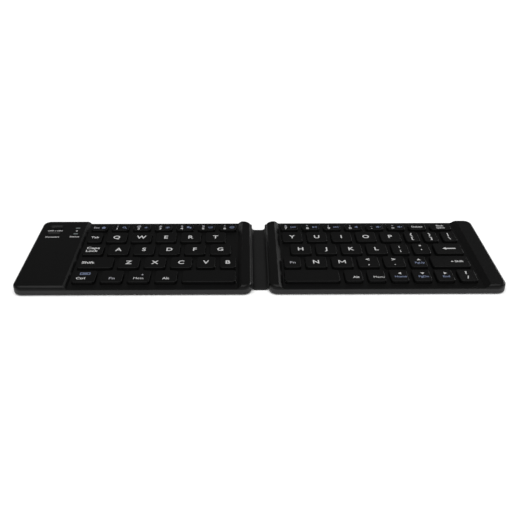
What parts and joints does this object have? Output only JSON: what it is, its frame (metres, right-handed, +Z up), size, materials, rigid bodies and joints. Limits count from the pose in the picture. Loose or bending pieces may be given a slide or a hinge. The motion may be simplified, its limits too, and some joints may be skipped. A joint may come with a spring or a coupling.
{
  "type": "folding keyboard",
  "caption": "Pocket wireless keyboard in two flat halves joined by a soft hinge strip, with keys in a sunken deck and a raised switch panel at the left end.",
  "frame": {"origin": "middle of the open keyboard's footprint, on the surface the rubber feet rest on", "axes": "+X along the keyboard to its right end, +Y from the front edge to the back edge, +Z up out of the keys"},
  "size_m": [0.2826, 0.0818, 0.0065],
  "materials": {
    "case_black": "fine matte texture, near black",
    "shell_grey": "smooth satin, dark grey",
    "key_black": "satin, near black, printed white and blue legends",
    "strip_grey": "soft matte elastomer, dark grey",
    "foot_rubber": "matte rubber",
    "dome_rubber": "translucent silicone",
    "steel": "stamped sheet steel",
    "screw_steel": "blackened steel",
    "magnet": "nickel plated",
    "film": "thin printed film",
    "cell": "foil pouch",
    "board": "green solder mask",
    "switch_body": "black switch housing",
    "window": "milky light grey plastic",
    "chip": "white package"
  },
  "bodies": {
    "left_half": {"left_bottom_shell": "shell_grey", "left_top_cover": "case_black", "left_support_plate": "steel", "left_membrane": "film", "left_rubber_domes": "dome_rubber", "left_feet": "foot_rubber", "left_screws": "screw_steel", "left_magnet": "magnet", "main_board": "board", "battery": "cell", "usb_socket": "steel", "slide_switch": "switch_body", "tact_switch": "switch_body", "led_windows": "window", "led_chips": "chip", "hinge_strip_left": "strip_grey", "flex_cable_left": "film"},
    "spine": {"hinge_strip_middle": "strip_grey", "flex_cable_middle": "film"},
    "right_half": {"right_bottom_shell": "shell_grey", "right_top_cover": "case_black", "right_support_plate": "steel", "right_membrane": "film", "right_rubber_domes": "dome_rubber", "right_feet": "foot_rubber", "right_screws": "screw_steel", "right_magnet": "magnet", "hinge_strip_right": "strip_grey", "flex_cable_right": "film"},
    "slider": {"power_slider": "key_black"},
    "connect": {"connect_button": "key_black"},
    "key_ctrl": {"key_ctrl": "key_black"},
    "key_left_fn": {"key_left_fn": "key_black"},
    "key_super": {"key_super": "key_black"},
    "key_left_alt": {"key_left_alt": "key_black"},
    "key_left_space": {"key_left_space": "key_black"},
    "key_left_shift": {"key_left_shift": "key_black"},
    "keys_z_to_b": {"keys_z_to_b": "key_black"},
    "key_caps_lock": {"key_caps_lock": "key_black"},
    "keys_a_to_g": {"keys_a_to_g": "key_black"},
    "key_tab": {"key_tab": "key_black"},
    "keys_q_to_t": {"keys_q_to_t": "key_black"},
    "key_escape": {"key_escape": "key_black"},
    "keys_1_to_6": {"keys_1_to_6": "key_black"},
    "key_right_space": {"key_right_space": "key_black"},
    "key_right_alt": {"key_right_alt": "key_black"},
    "key_menu": {"key_menu": "key_black"},
    "key_home": {"key_home": "key_black"},
    "key_page_down": {"key_page_down": "key_black"},
    "key_end": {"key_end": "key_black"},
    "key_question": {"key_question": "key_black"},
    "key_right_fn": {"key_right_fn": "key_black"},
    "keys_n_to_period": {"keys_n_to_period": "key_black"},
    "key_page_up": {"key_page_up": "key_black"},
    "key_right_shift": {"key_right_shift": "key_black"},
    "keys_h_to_quote": {"keys_h_to_quote": "key_black"},
    "key_enter": {"key_enter": "key_black"},
    "keys_y_to_backslash": {"keys_y_to_backslash": "key_black"},
    "keys_7_to_delete": {"keys_7_to_delete": "key_black"},
    "key_backspace": {"key_backspace": "key_black"}
  },
  "joints": [
    {"name": "fold_left", "type": "hinge", "parent": "left_half", "child": "spine", "pos_m": [-0.0041, 0, 0.00255], "axis": [0, -1, 0], "range_deg": [0, 90]},
    {"name": "fold_right", "type": "hinge", "parent": "spine", "child": "right_half", "pos_m": [0.0041, 0, 0.00255], "axis": [0, -1, 0], "range_deg": [0, 90]},
    {"name": "slider_slide", "type": "slide", "parent": "left_half", "child": "slider", "axis": [1, 0, 0], "range_m": [-0.002, 0]},
    {"name": "connect_press", "type": "slide", "parent": "left_half", "child": "connect", "axis": [0, 0, 1], "range_m": [-0.0004, 0], "stiffness_N_per_m": 800, "springref_m": 0.0004},
    {"name": "key_ctrl_press", "type": "slide", "parent": "left_half", "child": "key_ctrl", "axis": [0, 0, 1], "range_m": [-0.0015, 0], "stiffness_N_per_m": 300, "springref_m": 0.0008},
    {"name": "key_left_fn_press", "type": "slide", "parent": "left_half", "child": "key_left_fn", "axis": [0, 0, 1], "range_m": [-0.0015, 0], "stiffness_N_per_m": 300, "springref_m": 0.0008},
    {"name": "key_super_press", "type": "slide", "parent": "left_half", "child": "key_super", "axis": [0, 0, 1], "range_m": [-0.0015, 0], "stiffness_N_per_m": 300, "springref_m": 0.0008},
    {"name": "key_left_alt_press", "type": "slide", "parent": "left_half", "child": "key_left_alt", "axis": [0, 0, 1], "range_m": [-0.0015, 0], "stiffness_N_per_m": 300, "springref_m": 0.0008},
    {"name": "key_left_space_press", "type": "slide", "parent": "left_half", "child": "key_left_space", "axis": [0, 0, 1], "range_m": [-0.0015, 0], "stiffness_N_per_m": 300, "springref_m": 0.0008},
    {"name": "key_left_shift_press", "type": "slide", "parent": "left_half", "child": "key_left_shift", "axis": [0, 0, 1], "range_m": [-0.0015, 0], "stiffness_N_per_m": 300, "springref_m": 0.0008},
    {"name": "keys_z_to_b_press", "type": "slide", "parent": "left_half", "child": "keys_z_to_b", "axis": [0, 0, 1], "range_m": [-0.0015, 0], "stiffness_N_per_m": 300, "springref_m": 0.0008},
    {"name": "key_caps_lock_press", "type": "slide", "parent": "left_half", "child": "key_caps_lock", "axis": [0, 0, 1], "range_m": [-0.0015, 0], "stiffness_N_per_m": 300, "springref_m": 0.0008},
    {"name": "keys_a_to_g_press", "type": "slide", "parent": "left_half", "child": "keys_a_to_g", "axis": [0, 0, 1], "range_m": [-0.0015, 0], "stiffness_N_per_m": 300, "springref_m": 0.0008},
    {"name": "key_tab_press", "type": "slide", "parent": "left_half", "child": "key_tab", "axis": [0, 0, 1], "range_m": [-0.0015, 0], "stiffness_N_per_m": 300, "springref_m": 0.0008},
    {"name": "keys_q_to_t_press", "type": "slide", "parent": "left_half", "child": "keys_q_to_t", "axis": [0, 0, 1], "range_m": [-0.0015, 0], "stiffness_N_per_m": 300, "springref_m": 0.0008},
    {"name": "key_escape_press", "type": "slide", "parent": "left_half", "child": "key_escape", "axis": [0, 0, 1], "range_m": [-0.0015, 0], "stiffness_N_per_m": 300, "springref_m": 0.0008},
    {"name": "keys_1_to_6_press", "type": "slide", "parent": "left_half", "child": "keys_1_to_6", "axis": [0, 0, 1], "range_m": [-0.0015, 0], "stiffness_N_per_m": 300, "springref_m": 0.0008},
    {"name": "key_right_space_press", "type": "slide", "parent": "right_half", "child": "key_right_space", "axis": [0, 0, 1], "range_m": [-0.0015, 0], "stiffness_N_per_m": 300, "springref_m": 0.0008},
    {"name": "key_right_alt_press", "type": "slide", "parent": "right_half", "child": "key_right_alt", "axis": [0, 0, 1], "range_m": [-0.0015, 0], "stiffness_N_per_m": 300, "springref_m": 0.0008},
    {"name": "key_menu_press", "type": "slide", "parent": "right_half", "child": "key_menu", "axis": [0, 0, 1], "range_m": [-0.0015, 0], "stiffness_N_per_m": 300, "springref_m": 0.0008},
    {"name": "key_home_press", "type": "slide", "parent": "right_half", "child": "key_home", "axis": [0, 0, 1], "range_m": [-0.0015, 0], "stiffness_N_per_m": 300, "springref_m": 0.0008},
    {"name": "key_page_down_press", "type": "slide", "parent": "right_half", "child": "key_page_down", "axis": [0, 0, 1], "range_m": [-0.0015, 0], "stiffness_N_per_m": 300, "springref_m": 0.0008},
    {"name": "key_end_press", "type": "slide", "parent": "right_half", "child": "key_end", "axis": [0, 0, 1], "range_m": [-0.0015, 0], "stiffness_N_per_m": 300, "springref_m": 0.0008},
    {"name": "key_question_press", "type": "slide", "parent": "right_half", "child": "key_question", "axis": [0, 0, 1], "range_m": [-0.0015, 0], "stiffness_N_per_m": 300, "springref_m": 0.0008},
    {"name": "key_right_fn_press", "type": "slide", "parent": "right_half", "child": "key_right_fn", "axis": [0, 0, 1], "range_m": [-0.0015, 0], "stiffness_N_per_m": 300, "springref_m": 0.0008},
    {"name": "keys_n_to_period_press", "type": "slide", "parent": "right_half", "child": "keys_n_to_period", "axis": [0, 0, 1], "range_m": [-0.0015, 0], "stiffness_N_per_m": 300, "springref_m": 0.0008},
    {"name": "key_page_up_press", "type": "slide", "parent": "right_half", "child": "key_page_up", "axis": [0, 0, 1], "range_m": [-0.0015, 0], "stiffness_N_per_m": 300, "springref_m": 0.0008},
    {"name": "key_right_shift_press", "type": "slide", "parent": "right_half", "child": "key_right_shift", "axis": [0, 0, 1], "range_m": [-0.0015, 0], "stiffness_N_per_m": 300, "springref_m": 0.0008},
    {"name": "keys_h_to_quote_press", "type": "slide", "parent": "right_half", "child": "keys_h_to_quote", "axis": [0, 0, 1], "range_m": [-0.0015, 0], "stiffness_N_per_m": 300, "springref_m": 0.0008},
    {"name": "key_enter_press", "type": "slide", "parent": "right_half", "child": "key_enter", "axis": [0, 0, 1], "range_m": [-0.0015, 0], "stiffness_N_per_m": 300, "springref_m": 0.0008},
    {"name": "keys_y_to_backslash_press", "type": "slide", "parent": "right_half", "child": "keys_y_to_backslash", "axis": [0, 0, 1], "range_m": [-0.0015, 0], "stiffness_N_per_m": 300, "springref_m": 0.0008},
    {"name": "keys_7_to_delete_press", "type": "slide", "parent": "right_half", "child": "keys_7_to_delete", "axis": [0, 0, 1], "range_m": [-0.0015, 0], "stiffness_N_per_m": 300, "springref_m": 0.0008},
    {"name": "key_backspace_press", "type": "slide", "parent": "right_half", "child": "key_backspace", "axis": [0, 0, 1], "range_m": [-0.0015, 0], "stiffness_N_per_m": 300, "springref_m": 0.0008}
  ],
  "couplings": [
    {"joint": "fold_right", "follows": "fold_left", "ratio": 1}
  ]
}
